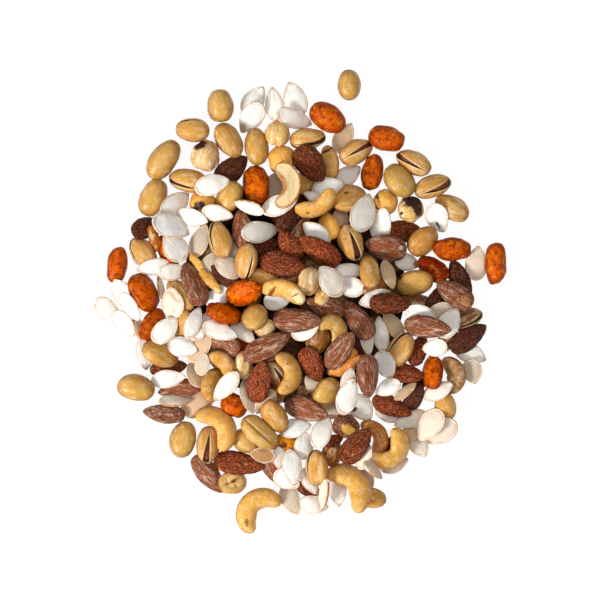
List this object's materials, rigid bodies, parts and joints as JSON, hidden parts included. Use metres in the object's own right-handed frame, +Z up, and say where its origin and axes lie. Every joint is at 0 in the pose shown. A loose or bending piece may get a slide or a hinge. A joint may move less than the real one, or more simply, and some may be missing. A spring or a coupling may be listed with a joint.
{
  "type": "heap of mixed nuts",
  "caption": "Low round heap of mixed nuts and pumpkin seeds as it lies on a table, with almonds, cashews, pistachios, hazelnuts and coated peanuts, and a few nuts beside it.",
  "frame": {"origin": "on the table, under the middle of the heap's bounding box, nuts beside it included", "axes": "+Z up, +Y towards the picture's upper edge, +X towards its right edge"},
  "size_m": [0.207, 0.2328, 0.0352],
  "materials": {
    "mixed_nuts": "satin",
    "coated_peanut": "satin",
    "cashew": "satin"
  },
  "bodies": {
    "root": {"nut_heap": "mixed_nuts", "stray_peanut_back": "coated_peanut", "stray_peanut_left": "coated_peanut", "stray_cashew_front": "cashew"}
  },
  "joints": []
}
